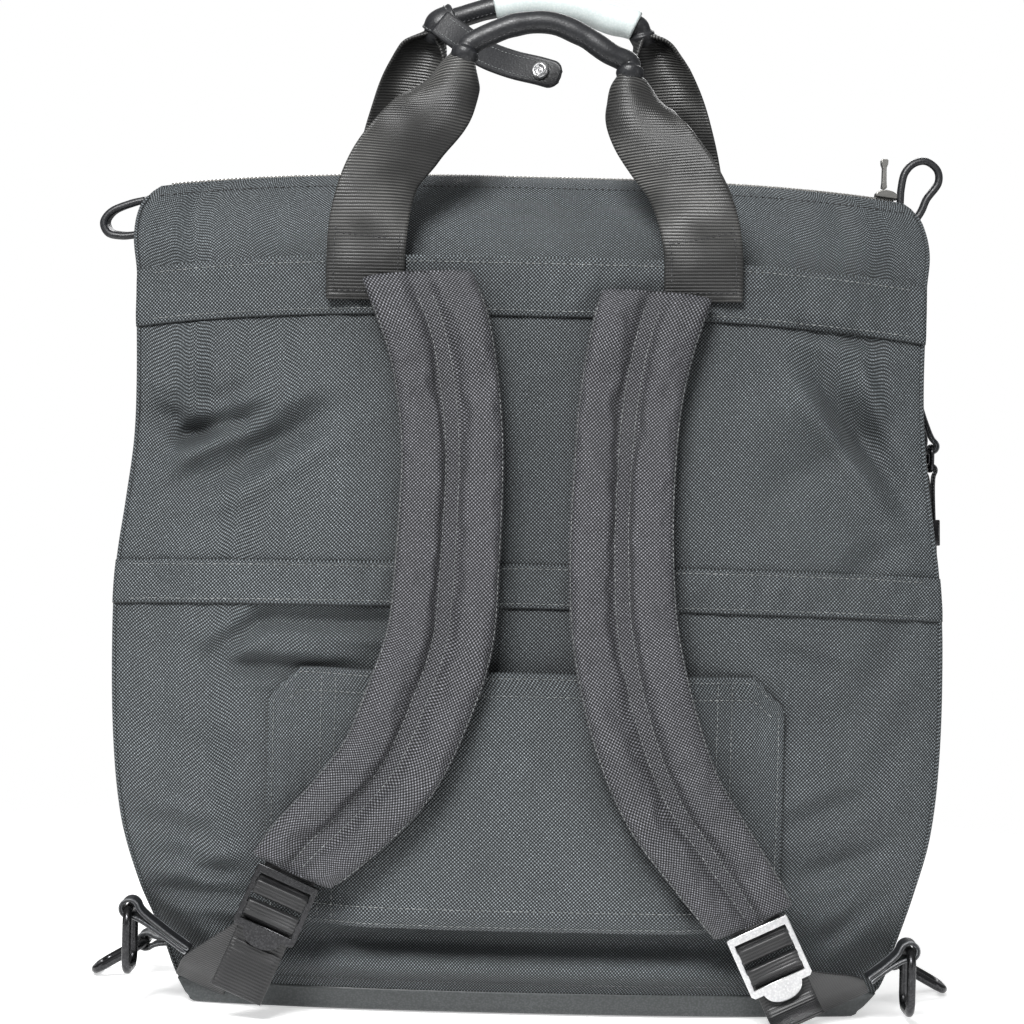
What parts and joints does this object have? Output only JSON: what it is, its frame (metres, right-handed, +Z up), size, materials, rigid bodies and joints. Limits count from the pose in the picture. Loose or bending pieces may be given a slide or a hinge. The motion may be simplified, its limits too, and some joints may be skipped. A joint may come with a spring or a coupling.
{
  "type": "convertible backpack",
  "caption": "Upright soft backpack with a zipped top, padded shoulder pads with ladder buckles, carrying handles, a trolley sleeve and corner rings.",
  "frame": {"origin": "on the floor under the middle of the bag, in the plane of its flat base", "axes": "+Z up, +X towards the right side seen from the worn side, -Y out of the worn side with the shoulder pads"},
  "size_m": [0.4437, 0.1727, 0.5178],
  "materials": {
    "body_cloth": "heavy basket-woven nylon, dark grey-green, matt with fine glints",
    "pad_cloth": "woven nylon over foam, dark grey with a slight purple cast",
    "webbing": "ribbed webbing, warm charcoal with a silky sheen",
    "leather": "smooth leather, near black with a blue cast, edges polished",
    "pale_leather": "smooth pale mint-white sleeve, semi-gloss",
    "dark_metal": "polished gunmetal",
    "bright_metal": "polished bright metal",
    "zip_metal": "aged brass teeth and slider"
  },
  "bodies": {
    "bag": {"back_panel": "body_cloth", "front_panel": "body_cloth", "roof_back": "body_cloth", "roof_front": "body_cloth", "gusset_left": "body_cloth", "gusset_right": "body_cloth", "base_tray": "body_cloth", "zip_tape_back": "webbing", "zip_tape_front": "webbing", "zip_chain": "zip_metal", "zip_slider": "zip_metal", "top_band_back": "body_cloth", "top_band_front": "body_cloth", "mid_band": "body_cloth", "trolley_sleeve": "body_cloth", "handle_webbing_back_left": "webbing", "handle_webbing_back_right": "webbing", "handle_webbing_front_left": "webbing", "handle_webbing_front_right": "webbing", "grip_back": "leather", "grip_front": "leather", "handle_collar": "leather", "grip_sleeve": "pale_leather", "snap_tab": "leather", "snap_stud": "bright_metal", "end_loop_left": "leather", "end_loop_right": "leather", "pad_left": "pad_cloth", "pad_right": "pad_cloth", "buckle_left": "dark_metal", "buckle_right": "bright_metal", "buckle_loop_left": "webbing", "buckle_loop_right": "webbing", "adjuster_left": "webbing", "adjuster_right": "webbing", "corner_loop_back_left": "leather", "corner_loop_back_right": "leather", "corner_loop_front_left": "leather", "corner_loop_front_right": "leather", "side_loop": "leather", "side_ring": "dark_metal", "side_strap": "webbing", "side_slider": "dark_metal", "side_anchor": "leather"},
    "back_left_ring": {"corner_ring_back_left": "dark_metal"},
    "back_right_ring": {"corner_ring_back_right": "dark_metal"},
    "front_left_ring": {"corner_ring_front_left": "dark_metal"},
    "front_right_ring": {"corner_ring_front_right": "dark_metal"},
    "pull": {"zip_pull": "zip_metal"}
  },
  "joints": [
    {"name": "back_left_ring_swing", "type": "hinge", "parent": "bag", "child": "back_left_ring", "pos_m": [-0.19061, -0.04634, 0.04791], "axis": [0, 1, 0], "range_deg": [-15, 100]},
    {"name": "back_right_ring_swing", "type": "hinge", "parent": "bag", "child": "back_right_ring", "pos_m": [0.18935, -0.04701, 0.03593], "axis": [0, -1, 0], "range_deg": [-15, 100]},
    {"name": "front_left_ring_swing", "type": "hinge", "parent": "bag", "child": "front_left_ring", "pos_m": [-0.19395, 0.04297, 0.01776], "axis": [0, 1, 0], "range_deg": [0, 100]},
    {"name": "front_right_ring_swing", "type": "hinge", "parent": "bag", "child": "front_right_ring", "pos_m": [0.19437, 0.04247, 0.01693], "axis": [0, -1, 0], "range_deg": [0, 100]},
    {"name": "zip_pull_tilt", "type": "hinge", "parent": "bag", "child": "pull", "pos_m": [0.17502, 0, 0.41456], "axis": [0, 1, 0], "range_deg": [-85, 20]}
  ]
}
